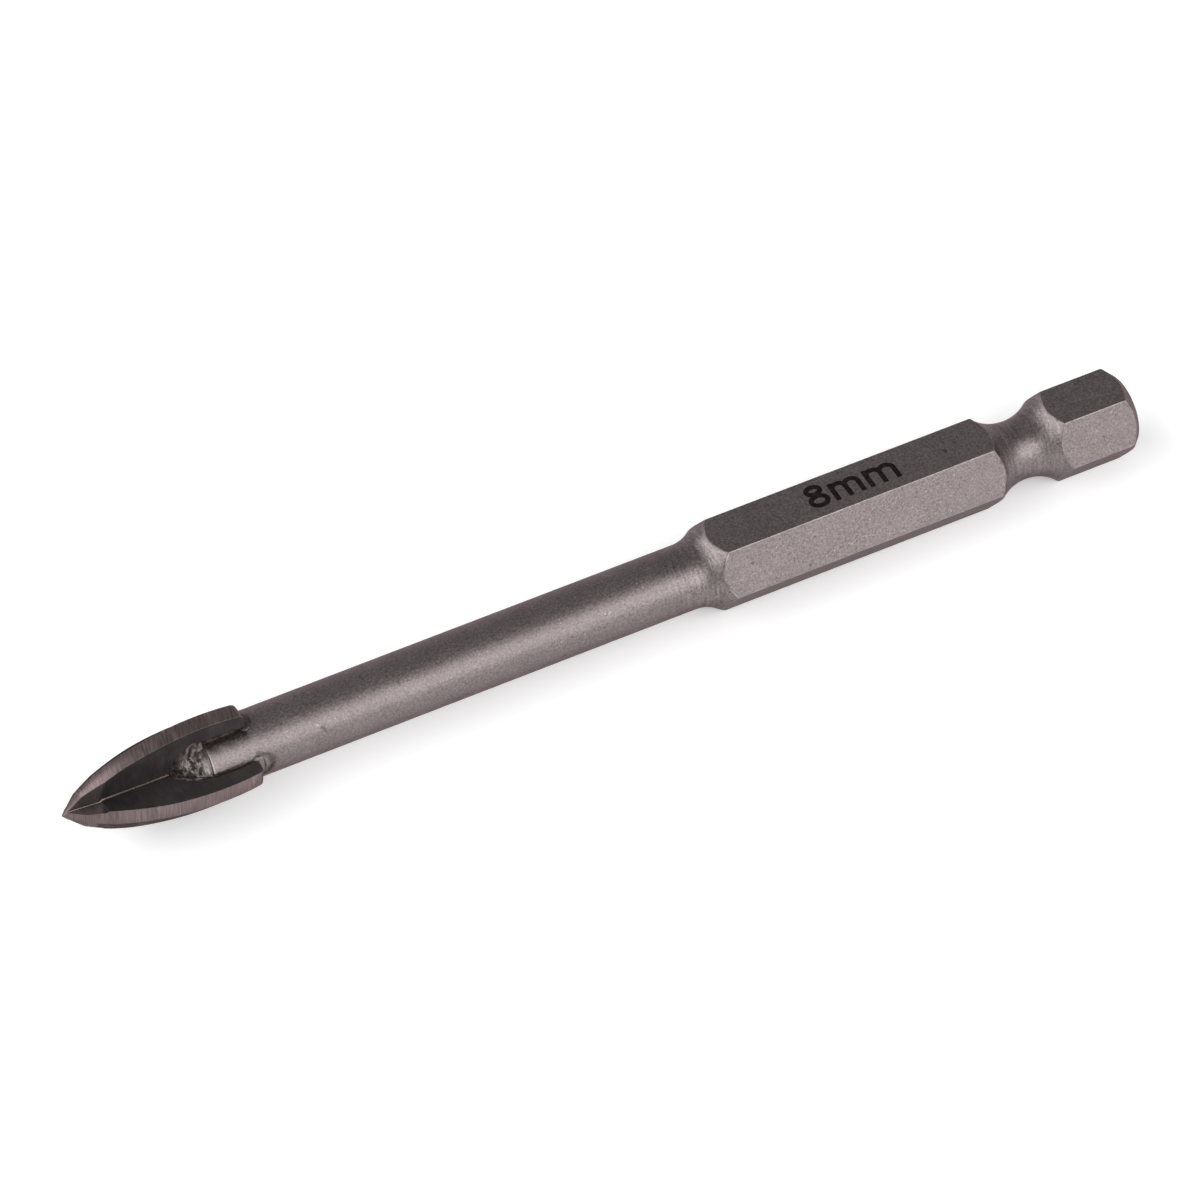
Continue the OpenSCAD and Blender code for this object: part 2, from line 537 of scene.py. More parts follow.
@dataclass(frozen=True)
class CrustedNose(MetalFinish):
    """Turned steel dome under a burnt crust of braze flux."""

    name: str = "crusted_nose"
    bare: Colour = (0.16, 0.141, 0.137)
    burnt: Colour = (0.026, 0.020, 0.019)
    rubbed_and_highlight: Colour = (0.42, 0.37, 0.36)
    line_cells: tuple[float, float, float] = (6200.0, 420.0, 420.0)

    def feed(self, sheet: FinishSheet) -> None:
        """Links the crust's patches and the lines under it.

        Args:
            sheet: node sheet of the material.
        """
        lines = sheet.effect(Effect.TOOL_LINES, cells=self.line_cells, contrast=2.2)
        fine = sheet.grain(cells=6500.0, contrast=2.4)
        colour = sheet.shade(sheet.shade(self.bare, lines["Tone"]), fine["Tone"])
        crust = sheet.patches(cells=2100.0, low=0.45, high=0.54)
        crust = sheet.math("MULTIPLY", crust, sheet.attribute("flux"))
        layers = [
            (0.88, crust, self.burnt),
            (1.0, sheet.wear_and_highlight(cells=1500.0), self.rubbed_and_highlight),
            (1.0, sheet.attribute("soot_and_shade"), self.burnt),
        ]
        normal = sheet.bump(lines["Height"], 0.5, 0.00004)
        normal = sheet.bump(crust, 0.5, 0.00008, normal)
        sheet.finish(sheet.cover(colour, layers), sheet.remap(crust, 0.0, 1.0, 0.38, 0.6), normal)


@dataclass(frozen=True)
class Carbide(MetalFinish):
    """Tungsten carbide, either as sintered or ground with a diamond wheel."""

    name: str = "carbide"
    colour: Colour = (0.05, 0.046, 0.046)
    edge: Colour = (0.5, 0.46, 0.45)
    roughness: float = 0.4
    lines: tuple[float, float, float] = (9000.0, 900.0, 900.0)
    contrast: float = 0.8
    smoke: float = 0.3
    slant: float = 0.0
    # Painted shade along the head: the colour goes from 1 + fade at the point to 1 - fade at the
    # step, so a negative value darkens the point end and lightens the rear
    fade: float = 0.0
    # Colour of ground faces, also used for the painted floor reflection on the lower blade
    ground: Colour = (0.20, 0.153, 0.146)

    def feed(self, sheet: FinishSheet) -> None:
        """Links the wheel's lines, patches and bright edges.

        Args:
            sheet: node sheet of the material.
        """
        wheel = sheet.turn(sheet.at, self.slant)
        lines = sheet.effect(Effect.TOOL_LINES, wheel, cells=self.lines, contrast=self.contrast)
        # Painted shade: darker towards the point, lighter towards the step, for a negative fade
        along = sheet.axis(sheet.at, 0)
        fade = sheet.remap(along, POINT_X, STEP_X, 1.0 + self.fade, 1.0 - self.fade)
        colour = sheet.shade(self.colour, fade)
        if self.metallic < 1.0:
            # The ground share also carries the painted floor reflection on the lower blade's near
            # side
            ground = sheet.attribute("ground")
            colour = sheet.blend(ground, colour, self.ground)
            metallic = sheet.remap(ground, 0.0, 1.0, self.metallic, 1.0)
            sheet.plug(sheet.shader.inputs["Metallic"], metallic)
        colour = sheet.shade(colour, lines["Tone"])
        smoke = sheet.patches(cells=600.0, low=0.35, high=0.65)
        smoke = sheet.remap(smoke, 0.0, 1.0, 1.0 - self.smoke, 1.0 + self.smoke)
        layers = [(0.3, sheet.wear_and_highlight(cells=2600.0), self.edge)]
        colour = sheet.cover(sheet.shade(colour, smoke), layers)
        rough = sheet.rough(lines["Height"], self.roughness)
        sheet.finish(colour, rough, sheet.bump(lines["Height"], 0.3, 0.00002))


@dataclass(frozen=True)
class ValleyBraze(MetalFinish):
    """Thin line of braze drawn along the valleys of the head, golden where they bend."""

    name: str = "valley_braze"
    length: float = 0.0145
    stops: tuple[tuple[float, Colour], ...] = (
        (0.0, (0.35, 0.31, 0.285)),
        (0.165, (0.28, 0.24, 0.21)),
        (0.190, (0.28, 0.22, 0.145)),
        (0.212, (0.13, 0.108, 0.092)),
        (0.30, (0.072, 0.065, 0.062)),
        (0.50, (0.078, 0.067, 0.060)),
        (0.555, (0.075, 0.052, 0.038)),
        (0.62, (0.03, 0.024, 0.020)),
    )

    def feed(self, sheet: FinishSheet) -> None:
        """Links the colours along the valley.

        Args:
            sheet: node sheet of the material.
        """
        grain = sheet.grain(cells=5200.0, contrast=2.6)
        depth = sheet.math("SUBTRACT", sheet.axis(sheet.at, 0), POINT_X)
        colour = sheet.ramp(sheet.math("DIVIDE", depth, self.length), list(self.stops))
        rough = sheet.remap(grain["Height"], 0.3, 0.7, 0.36, 0.5)
        normal = sheet.bump(grain["Height"], 0.4, 0.00003)
        sheet.finish(sheet.shade(colour, grain["Tone"]), rough, normal)


@dataclass(frozen=True)
class BrazeMetal(MetalFinish):
    """Brown heat-stained braze, lighter where it was cleaned and golden in spots."""

    name: str = "braze_metal"
    brown: Colour = (0.036, 0.028, 0.025)
    burnt: Colour = (0.018, 0.015, 0.014)
    clean: Colour = (0.20, 0.17, 0.168)
    gold: Colour = (0.26, 0.145, 0.07)

    def feed(self, sheet: FinishSheet) -> None:
        """Links the stains, the pale crust and beads, and golden spots.

        Args:
            sheet: node sheet of the material.
        """
        stain = sheet.patches(cells=1500.0, low=0.40, high=0.62)
        spots = sheet.patches(cells=1900.0, low=0.74, high=0.80)
        grain = sheet.grain(cells=5600.0, contrast=2.0)
        layers = [
            (1.0, stain, self.burnt),
            (1.0, sheet.attribute("flux"), self.clean),
            (0.5, spots, self.gold),
        ]
        colour = sheet.shade(sheet.cover(self.brown, layers), grain["Tone"])
        rough = sheet.remap(stain, 0.0, 1.0, 0.38, 0.56)
        sheet.finish(colour, rough, sheet.bump(grain["Height"], 0.5, 0.00004))


@dataclass(frozen=True)
class LaserMark(MetalFinish):
    """Black-brown burnt line of a marking laser."""

    name: str = "laser_mark"
    metallic: float = 0.0
    gloss: float = 0.06
    burnt: Colour = (0.006, 0.005, 0.0048)
    singed: Colour = (0.018, 0.013, 0.011)

    def feed(self, sheet: FinishSheet) -> None:
        """Links the burnt line's grain.

        Args:
            sheet: node sheet of the material.
        """
        patch = sheet.patches(cells=4200.0, low=0.38, high=0.68)
        grain = sheet.grain(cells=6000.0, contrast=1.6)
        colour = sheet.shade(sheet.blend(patch, self.burnt, self.singed), grain["Tone"])
        rough = sheet.remap(patch, 0.0, 1.0, 0.55, 0.72)
        sheet.finish(colour, rough, sheet.bump(grain["Height"], 0.4, 0.00003))


def bell(value: Number, middle: Number, width: Number) -> Number:
    """Returns 1 where a value is at the middle, and less the more widths it is away."""
    return np.exp(-(((value - middle) / width) ** 2))


def rise(value: Number, start: float, length: float) -> Number:
    """Returns 0 up to the start, then an even rise to 1 over the length."""
    return np.clip((value - start) / length, 0.0, 1.0)


def on_blade(x: float, y: float, angle: float) -> tuple[float, float]:
    """Returns Y and Z of a place given outwards along a blade and across it."""
    sin, cos = math.sin(angle), math.cos(angle)
    return x * sin + y * cos, x * cos - y * sin


def link(name: str, data: object) -> bpy.types.Object:
    """Puts a mesh, lamp or camera into the scene as a new object and returns it."""
    item = bpy.data.objects.new(name, data)
    bpy.context.scene.collection.objects.link(item)
    return item


def seat(
    name: str, mesh: bpy.types.Mesh, materials: list[bpy.types.Material]
) -> bpy.types.Object:
    """Puts a finished mesh into the scene as a piece of the bit.

    Args:
        name: name of the piece.
        mesh: its mesh, in metres.
        materials: its materials in slot order.

    Returns:
        The new object, which rides on the bit's body.
    """
    piece = link(name, mesh)
    for material in materials:
        mesh.materials.append(material)
    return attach(piece, BODY)


def smooth(mesh: bpy.types.Mesh, sharp_angle: float) -> None:
    """Shades a mesh smooth, with edges above an angle in degrees kept sharp."""
    mesh.polygons.foreach_set("use_smooth", np.ones(len(mesh.polygons), bool))
    mesh.set_sharp_from_angle(angle=math.radians(sharp_angle))
    mesh.update()


def paint(mesh: bpy.types.Mesh, name: str, values: np.ndarray) -> None:
    """Stores a value for each vertex.

    Args:
        mesh: mesh to paint.
        name: name of the attribute.
        values: one number for each vertex.
    """
    layer = mesh.attributes.new(name, "FLOAT", "POINT")
    layer.data.foreach_set("value", np.clip(values, 0.0, 1.0).astype(np.float32))


def corners(mesh: bpy.types.Mesh) -> np.ndarray:
    """Returns the vertices of a mesh in millimetres, one row each."""
    places = np.zeros(len(mesh.vertices) * 3, np.float32)
    mesh.vertices.foreach_get("co", places)
    return places.reshape(-1, 3).astype(float) / MM


def lump(points: np.ndarray, cells: float, seed: float) -> np.ndarray:
    """Reads smooth noise at points.

    Args:
        points: places in millimetres, one row each.
        cells: lumps in a millimetre.
        seed: offset that gives another pattern.

    Returns:
        A number from about -1 to 1 for each point.
    """
    shift = Vector((seed, 0.37 * seed, -0.71 * seed))
    return np.array([noise.noise(Vector(p) * cells + shift) for p in points])


def net(
    rows: np.ndarray, first_pole: np.ndarray | None, last_pole: np.ndarray | None
) -> bpy.types.Mesh:
    """Makes a closed mesh from rings of points.

    Args:
        rows: rings, each with the same number of points, in millimetres.
        first_pole: point that closes the first ring, or None for one flat face.
        last_pole: point that closes the last ring, or None for one flat face.

    Returns:
        The new mesh in metres, with its faces outwards.
    """
    count, around = rows.shape[:2]
    places = [Vector(p) * MM for p in rows.reshape(-1, 3)]
    faces: list[tuple[int, ...]] = []
    for start in range(0, (count - 1) * around, around):
        for j in range(around):
            here, beside = start + j, start + (j + 1) % around
            faces.append((here, beside, beside + around, here + around))
    for pole, start in ((first_pole, 0), (last_pole, (count - 1) * around)):
        if pole is None:
            faces.append(tuple(range(start, start + around)))
            continue
        places.append(Vector(pole) * MM)
        for j in range(around):
            faces.append((len(places) - 1, start + j, start + (j + 1) % around))
    mesh = bpy.data.meshes.new("net")
    mesh.from_pydata(places, [], faces)
    shape = bmesh.new()
    shape.from_mesh(mesh)
    bmesh.ops.recalc_face_normals(shape, faces=shape.faces)
    shape.to_mesh(mesh)
    shape.free()
    return mesh


def spread(*parts: tuple[float, float, int]) -> np.ndarray:
    """Joins evenly spaced stretches, each given as start, end and number of steps."""
    steps = [np.linspace(start, end, count, endpoint=False) for start, end, count in parts]
    return np.concatenate([*steps, [parts[-1][1]]])


@dataclass
class SteelShank:
    """One-piece steel body: hex drive, ball groove, neck, round shank and slotted dome."""

    flat: float = 3.175
    corner_round: float = 0.11
    corner_reach: float = 3.6
    bar: float = 3.626
    clear: float = 3.95
    end_face: float = 2.7
    groove_at: float = 9.3
    groove_root: float = 2.325
    groove_arc: float = 4.1
    hex_length: float = 34.9
    neck_slope: float = math.radians(34.0)
    neck_arc: float = 3.1
    shank: float = 2.525
    nose_at: float = 77.0
    nose_step: float = 0.1
    nose_length: float = 2.9
    nose_front: float = 0.85
    nose_arc: float = 3.4
    blend: float = 0.07
    slot_half: float = 0.71
    slot_floor: float = 73.54
    slot_front: float = 81.0
    round_below: float = 3.0
    hex_above: float = 3.05
    end_rings: tuple[float, ...] = (0.5, 1.0, 1.5, 1.9, 2.25, 2.45, 2.58)

    def profile(self) -> np.ndarray:
        """Lays out the turned outline from the drive end to the front of the dome.

        Returns:
            Rows of distance from the drive end and radius.
        """
        # Drive end face, its rounded rim, and the chamfer that runs out of the hex
        rows: list[tuple[float, float]] = [(0.0, r) for r in self.end_rings]
        rows += [(0.012, 2.655), (0.045, 2.72)]
        chamfer = spread((2.79, 3.1, 6), (3.1, 3.75, 30), (3.75, self.clear, 4))
        rows += [(r - self.end_face, r) for r in chamfer]
        # Ball groove, with close rings where it meets the flats
        centre = self.groove_root + self.groove_arc
        half = math.sqrt(self.groove_arc**2 - (centre - self.clear) ** 2)
        rows += [(s, self.clear) for s in spread((1.7, self.groove_at - half - 0.15, 12))]
        for ds in spread((-half, -2.42, 34), (-2.42, 2.42, 40), (2.42, half, 34)):
            rows.append((self.groove_at + ds, centre - math.sqrt(self.groove_arc**2 - ds**2)))
        # Hex, cone of the neck and its hollow fillet
        tan = math.tan(self.neck_slope)
        cone_start = self.hex_length - (self.clear - self.bar) / tan
        hex_stretch = spread((self.groove_at + half + 0.3, cone_start - 0.15, 34))
        rows += [(s, self.clear) for s in hex_stretch]
        corner = self.hex_length + (self.bar - self.shank) / tan
        reach = self.neck_arc * math.tan(self.neck_slope / 2)
        cone_end = corner - reach * math.cos(self.neck_slope)
        for s in spread((cone_start, cone_end, 40)):
            rows.append((s, self.clear - (s - cone_start) * tan))
        for turn in np.linspace(self.neck_slope, 0.0, 15)[1:]:
            lift = self.neck_arc * (1 - math.cos(turn))
            rows.append((corner + reach - self.neck_arc * math.sin(turn), self.shank + lift))
        # Round shank, the rounded step and the dome
        shank_stretch = spread((38.2, 70.0, 36), (70.0, self.nose_at - 0.1, 64))
        rows += [(s, self.shank) for s in shank_stretch]
        foot = 0.015 - self.nose_step
        for ds, drop in ((-0.05, 0.0), (-0.02, -0.01), (-0.004, -0.04), (0.006, foot)):
            rows.append((self.nose_at + ds, self.shank + drop))
        centre_s, centre_r = self.dome_centre()
        for s in spread((self.nose_at + 0.03, self.nose_at + self.nose_length, 46)):
            rows.append((s, centre_r + math.sqrt(self.nose_arc**2 - (s - centre_s) ** 2)))
        return np.array(rows)

    def outside(self) -> np.ndarray:
        """Returns the outline without the rings of the drive end face."""
        return self.profile()[len(self.end_rings) + 1 :]

    def dome_centre(self) -> tuple[float, float]:
        """Finds the middle of the dome's arc.

        Returns:
            Its distance from the drive end and its radius.
        """
        base = np.array([self.nose_at, self.shank - self.nose_step])
        front = np.array([self.nose_at + self.nose_length, self.nose_front])
        chord = front - base
        length = float(np.linalg.norm(chord))
        rise_to_arc = math.sqrt(self.nose_arc**2 - (length / 2) ** 2)
        inward = np.array([-abs(chord[1]), -chord[0]]) / length
        middle = (base + front) / 2 + rise_to_arc * inward
        return float(middle[0]), float(middle[1])

    def hex_radius(self, off: np.ndarray) -> np.ndarray:
        """Gives the hex's outline.

        Args:
            off: angle from the middle of the nearest flat, in radians.

        Returns:
            The radius there, with the corners rounded.
        """
        half_side = math.pi / 6
        reach = (self.flat - self.corner_round) / math.cos(half_side)
        gap = half_side - np.abs(off)
        inside = np.maximum(self.corner_round**2 - (reach * np.sin(gap)) ** 2, 0.0)
        round_part = reach * np.cos(gap) + np.sqrt(inside)
        start = math.atan2((self.flat - self.corner_round) * math.tan(half_side), self.flat)
        return np.where(np.abs(off) < start, self.flat / np.cos(off), round_part)

    def columns(self, radius: float) -> np.ndarray:
        """Places the columns of one ring, close together where the turned part meets the flats.

        Args:
            radius: turned radius of the ring.

        Returns:
            Angles round the whole ring, in radians.
        """
        meet = math.degrees(math.acos(self.flat / radius)) if radius > self.flat else 0.0
        least, most = 1.5, 29.0
        even = 30.0 * 7 / 12
        share = min(max((radius - self.hex_above) / 0.3, 0.0), 1.0)
        split = min(max(even + (max(meet, least) - even) * share, least), most)
        half = np.concatenate([np.linspace(0, split, 8)[:-1], np.linspace(split, 30.0, 6)[:-1]])
        sector = np.concatenate([half, 60.0 - np.concatenate([[30.0], half[:0:-1]])])
        return np.radians(np.concatenate([90.0 + 60.0 * k + sector for k in range(6)]))

    def smooth_min(self, a: np.ndarray, b: np.ndarray) -> np.ndarray:
        """Returns the smaller of two radii, with a soft change from one to the other."""
        near = np.maximum(self.blend - np.abs(a - b), 0.0) / self.blend
        return np.minimum(a, b) - near**2 * self.blend / 4

    def off_flat(self, angle: np.ndarray) -> np.ndarray:
        """Returns the angle from the middle of the nearest flat, in radians."""
        side = math.pi / 3
        return (angle - QUARTER + side / 2) % side - side / 2

    def turned_mesh(self) -> bpy.types.Mesh:
        """Makes the body before its slots are cut.

        Returns:
            The closed mesh, with crust lumps on the dome.
        """
        rings = []
        for s, r in self.profile():
            angle = self.columns(r)
            radius = np.full_like(angle, r)
            if r >= self.round_below:
                radius = self.smooth_min(radius, self.hex_radius(self.off_flat(angle)))
            across = (radius * np.cos(angle), radius * np.sin(angle))
            rings.append(np.stack([np.full_like(angle, -s), *across], 1))
        rows = np.array(rings)
        on_dome = -rows[:, 0, 0] > self.nose_at + 0.02
        dome = rows[on_dome].reshape(-1, 3)
        swell = 0.07 * lump(dome, 1.5, 3.1) + 0.045 * lump(dome, 4.2, 8.4)
        fade = np.clip((-dome[:, 0] - self.nose_at) / 0.5, 0.15, 1.0)
        radius = np.maximum(np.hypot(dome[:, 1], dome[:, 2]), 0.3)
        dome[:, 1:] *= (1 + swell * fade / radius)[:, None]
        rows[on_dome] = dome.reshape(rows[on_dome].shape)
        front = np.array([-self.nose_at - self.nose_length - 0.01, 0.0, 0.0])
        return net(rows, np.zeros(3), front)

    def slot_cutter(self) -> bpy.types.Object:
        """Makes the cross that cuts the slots.

        Returns:
            The cutter, not shown.
        """
        w, far = self.slot_half, 4.2
        arm = [(w, w), (far, w), (far, -w)]
        turns = [HEAD_TURN - k * QUARTER for k in range(BLADES)]
        outline = [on_blade(x, y, turn) for turn in turns for x, y in arm]
        ends = (self.slot_floor, self.slot_front)
        rows = np.array([[(-s, y, z) for y, z in outline] for s in ends])
        return link("slot_cutter", net(rows, None, None))

    def build(self) -> bpy.types.Mesh:
        """Makes the body and cuts its slots.

        Returns:
            The finished mesh.
        """
        blank = link("shank_blank", self.turned_mesh())
        cutter = self.slot_cutter()
        cut = blank.modifiers.new("slots", "BOOLEAN")
        cut.operation, cut.solver, cut.object = "DIFFERENCE", "EXACT", cutter
        graph = bpy.context.evaluated_depsgraph_get()
        mesh = bpy.data.meshes.new_from_object(blank.evaluated_get(graph))
        for helper in (blank, cutter):
            bpy.data.objects.remove(helper)
        mesh.name = "shank_dressed"
        self.mark_worn(mesh)
        self.mark_heated(mesh)
        smooth(mesh, 38.0)
        return mesh

    def mark_worn(self, mesh: bpy.types.Mesh) -> None:
        """Stores where edges are rubbed, a painted highlight along the step to the dome, and where
        turning lines show.

        Args:
            mesh: the cut body.
        """
        at = corners(mesh)
        s, radius = -at[:, 0], np.hypot(at[:, 1], at[:, 2])
        outline = self.outside()
        turned_r = np.interp(s, outline[:, 0], outline[:, 1])
        off = np.abs(self.off_flat(np.arctan2(at[:, 2], at[:, 1])))
        hex_r = self.hex_radius(off)
        below = hex_r - turned_r
        on_hex = (s < self.hex_length + 1.5) & (radius > self.hex_above)
        corner = bell((math.pi / 6 - off) * self.corner_reach, 0.0, 0.045) * (below < 0.02)
        edge = np.maximum(corner, 0.8 * bell(below, 0.0, 0.03)) * on_hex
        edge = np.maximum(edge, 0.7 * bell(radius, self.end_face, 0.05) * (s < 0.2))
        # Painted highlight: a bright line on the steel just behind the step to the dome, drawn
        # with the rubbed-edge colour
        edge = np.maximum(edge, bell(s, self.nose_at - 0.08, 0.09) * (radius > 2.3))
        paint(mesh, "edge", edge)
        groove = (np.abs(s - self.groove_at) < 3.3) * rise(below, 0.0, 0.2)
        neck = rise(s, self.hex_length - 0.3, 0.4) * rise(-s, -41.5, 4.0) * rise(below, 0.0, 0.15)
        paint(mesh, "turned", np.maximum(0.8 * groove, neck))

    def mark_heated(self, mesh: bpy.types.Mesh) -> None:
        """Stores heat stains with painted shade, and flux, and gives the dome its own finish.

        Args:
            mesh: the cut body.
        """
        at = corners(mesh)
        soot_and_shade, flux = self.heat(at)
        front = -at[:, 0] - self.nose_at
        on_dome = front > 0.03
        bands = 0.55 * bell(front, 0.13, 0.07) + 0.6 * bell(front, 0.62, 0.06)
        burnt = bands + np.minimum(rise(front, 1.6, 0.6), 0.85)
        paint(mesh, "soot_and_shade", np.maximum(soot_and_shade, np.where(on_dome, burnt, 0.0)))
        paint(mesh, "flux", np.where(on_dome, rise(front, 0.55, 0.2), flux))
        middle = np.zeros(len(mesh.polygons) * 3, np.float32)
        mesh.polygons.foreach_get("center", middle)
        in_front = -middle.reshape(-1, 3)[:, 0] / MM > self.nose_at - 0.005
        mesh.polygons.foreach_set("material_index", in_front.astype(np.int32))

    def heat(self, at: np.ndarray) -> tuple[np.ndarray, np.ndarray]:
        """Finds the stains that brazing left round the blades, and the painted shade behind the
        upper blade.

        Args:
            at: places on the steel in millimetres.

        Returns:
            The share of soot and of pale flux at each place.
        """
        s, radius = -at[:, 0], np.hypot(at[:, 1], at[:, 2])
        turn = np.arctan2(at[:, 1], at[:, 2]) - HEAD_TURN
        turn = (turn + QUARTER / 2) % QUARTER - QUARTER / 2
        aside = radius * np.abs(np.sin(turn))
        uneven, fine = lump(at, 1.9, 5.0), lump(at, 6.0, 2.0)
        upper = at[:, 2] > np.abs(at[:, 1])
        # Ring round the end of each slot; behind the upper blade a plain dark smudge instead,
        # which is painted shade
        behind = self.slot_floor + 0.06 - s
        back = rise(behind, -0.1, 0.2)
        span = np.hypot(behind / 1.2, aside) + 0.12 * uneven
        ring = bell(span, 1.0, 0.23) * back * np.clip(0.95 + 0.5 * uneven, 0, 1)
        ring = np.where(upper, 0.4 * bell(span, 0.0, 0.9) * back, ring)
        # Band beside the slots, wide on the trailing side of a blade
        width = np.where(turn < 0, 0.62, 0.09) * (1 + 0.35 * uneven)
        beside = rise(-behind, -0.15, 0.3) * np.where(s < self.nose_at + 0.02, 1.0, 0.45)
        away = np.maximum(aside - self.slot_half, 0.0)
        seam = np.clip(1.5 * bell(away, 0.0, width), 0, 1) * beside
        soot_and_shade = np.maximum(0.9 * ring, 0.95 * seam) * np.clip(0.95 + 0.4 * fine, 0, 1)
        flux = rise(-span, -0.92, 0.2) * back * np.clip(0.6 + 0.8 * fine, 0, 1)
        # Behind the upper blade the pale flux is mostly left out, so that spot stays dark: painted
        # shade
        return soot_and_shade, np.where(upper, 0.1, 0.7) * flux

    def dress(self, shelf: EffectShelf) -> bpy.types.Object:
        """Builds the body with its finishes.

        Args:
            shelf: shared effects.

        Returns:
            The piece, which stands for the CAD body.
        """
        materials = [BlastedSteel().make(shelf), CrustedNose().make(shelf)]
        piece = seat("shank_dressed", self.build(), materials)
        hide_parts("steel_shank")
        return piece


class HeadZone(Enum):
    """Zones of the carbide head, in the order of its material slots."""

    SIDE = 0
    LAND = 1
    VALLEY = 2


class RingPoint(NamedTuple):
    """Point of the head's outline, outwards along a blade and across it.

    Its zone starts there. Edge says how near it is to a cutting edge, ground how far it was
    ground off.
    """

    x: float
    y: float
    zone: HeadZone
    edge: float = 0.0
    ground: float = 0.0


@dataclass
class CarbideHead:
    """Cross-shaped carbide spear: four relieved blades on one core, thinned towards the point."""

    overall: float = 88.0
    length: float = 14.4
    land_r: float = math.sqrt(15.70)
    spear_arc: float = 19.5
    spear_peak: float = 11.2
    point_slope: float = math.tan(math.radians(42.5))
    half_t: float = 0.65
    gash_length: float = 2.75
    gash_half_t: float = 0.06
    lead_half_t: float = 0.25
    gash_depth: float = 0.1
    gash_step: float = 0.15
    gash_sweep: float = 0.35
    front_twist: float = math.radians(2.2)
    twist_end: float = 7.5
    twist_length: float = 4.5
    lean: float = math.asin(0.3 / 11.2)
    rear_round: float = 0.6
    valley_round: float = 0.12
    point_valley: float = 0.045
    pool_at: float = 8.1
    edge_break: float = 0.006
    side_shares: tuple[float, ...] = (0.0, 0.15, 0.3, 0.45, 0.6, 0.75, 0.9)

    def spear(self, depth: float) -> float:
        """Returns the radius of the spear outline at a depth behind the point."""
        round_start = self.length - self.rear_round
        if depth <= round_start:
            return max(min(depth * self.point_slope, self.arc(depth)), 1e-4)
        inner_arc = self.spear_arc - self.rear_round
        reach = math.sqrt(inner_arc**2 - (round_start - self.spear_peak) ** 2)
        inside = max(self.rear_round**2 - (depth - round_start) ** 2, 0.0)
        return min(self.land_r - self.spear_arc + reach + math.sqrt(inside), self.arc(depth))

    def arc(self, depth: float) -> float:
        """Returns the radius of the spear's curved flank at a depth."""
        sag = self.spear_arc - math.sqrt(self.spear_arc**2 - (depth - self.spear_peak) ** 2)
        return self.land_r - sag

    def land(self, depth: float, y: float) -> float:
        """Finds the ground land.

        Args:
            depth: distance behind the point.
            y: place across the blade's thickness.

        Returns:
            How far out the land is there.
        """
        across = y * math.cos(self.lean) - depth * math.sin(self.lean)
        back = depth * math.cos(self.lean) + y * math.sin(self.lean)
        return math.sqrt(max(self.spear(back) ** 2 - across**2, 1e-8))

    def twist(self, depth: float) -> float:
        """Returns how far the front of the head is turned ahead at a depth, in radians."""
        share = min(max((self.twist_end - depth) / self.twist_length, 0.0), 1.0)
        return self.front_twist * share * share * (3.0 - 2.0 * share)

    def swept(self, depth: float, x: float) -> float:
        """Returns the depth that counts for the trailing gash, which runs back outwards."""
        return depth - self.gash_sweep * max(x - self.half_t, 0.0)

    def faces(self, depth: float, x: float) -> tuple[float, float]:
        """Finds the two faces of a blade, which are ground back near the point.

        Args:
            depth: distance behind the point.
            x: distance from the axis.

        Returns:
            How far the trailing and the leading face are from the blade's middle.
        """
        share = min(max(self.swept(depth, x), 0.0) / self.gash_length, 1.0)
        trail = self.gash_half_t + (self.half_t - self.gash_half_t) * share
        full = self.half_t - self.gash_depth
        taper = min(depth / self.gash_length, 1.0)
        flat = self.lead_half_t + (full - self.lead_half_t) * taper
        step = min(max((depth - self.gash_length) / self.gash_step, 0.0), 1.0)
        lead = flat + (self.half_t - flat) * step
        most = 0.86 * self.spear(depth)
        shrink = min(1.0, most / math.hypot(trail, lead))
        return trail * shrink, lead * shrink

    def valley(self, depth: float, trail_t: float, lead_t: float) -> float:
        """Finds the rounding of the valley between two blades.

        Args:
            depth: distance behind the point.
            trail_t: trailing half thickness there.
            lead_t: leading half thickness there.

        Returns:
            Its radius, larger where braze pools in front of the dome.
        """
        share = min(max((depth - self.gash_length) / 0.2, 0.0), 1.0)
        radius = self.point_valley + (self.valley_round - self.point_valley) * share
        radius += 0.16 * float(bell(depth, self.pool_at, 0.5))
        return min(radius, 0.3 * min(trail_t, lead_t), 0.3 * (self.spear(depth) - lead_t))

    def ring(self, depth: float) -> list[RingPoint]:
        """Lays out the outline of one quarter of the head.

        Args:
            depth: distance behind the point.

        Returns:
            The outline's points.
        """
        trail_t, lead_t = self.faces(depth, 0.0)
        end_t = self.faces(depth, self.spear(depth))[0]
        fillet = self.valley(depth, trail_t, lead_t)
        cut = min(self.edge_break, 0.08 * trail_t)
        trail = max(self.land(depth, -end_t), lead_t + 2 * fillet + 0.001)
        lead = max(self.land(depth, lead_t), trail_t + 2 * fillet + 0.001)
        points = []
        # Trailing face, from the valley outwards
        for share in self.side_shares:
            x = lead_t + fillet + (trail - cut - lead_t - fillet) * share
            past = self.gash_length - self.swept(depth, x)
            ground = 0.17 * float(rise(past, -0.15, 0.3))
            edge = 0.2 * float(bell(x, trail, 0.12))
            points.append(RingPoint(x, -self.faces(depth, x)[0], HeadZone.SIDE, edge, ground))
        # Land, from the trailing to the leading edge
        points.append(RingPoint(trail - cut, -end_t, HeadZone.LAND, 0.1, ground))
        for y in np.linspace(-end_t + cut, lead_t - cut, 12).tolist():
            near = min(abs(lead_t - y), abs(end_t + y))
            x = max(self.land(depth, y), lead_t + fillet)
            points.append(RingPoint(x, y, HeadZone.LAND, 0.12 * float(bell(near, 0.0, 0.05))))
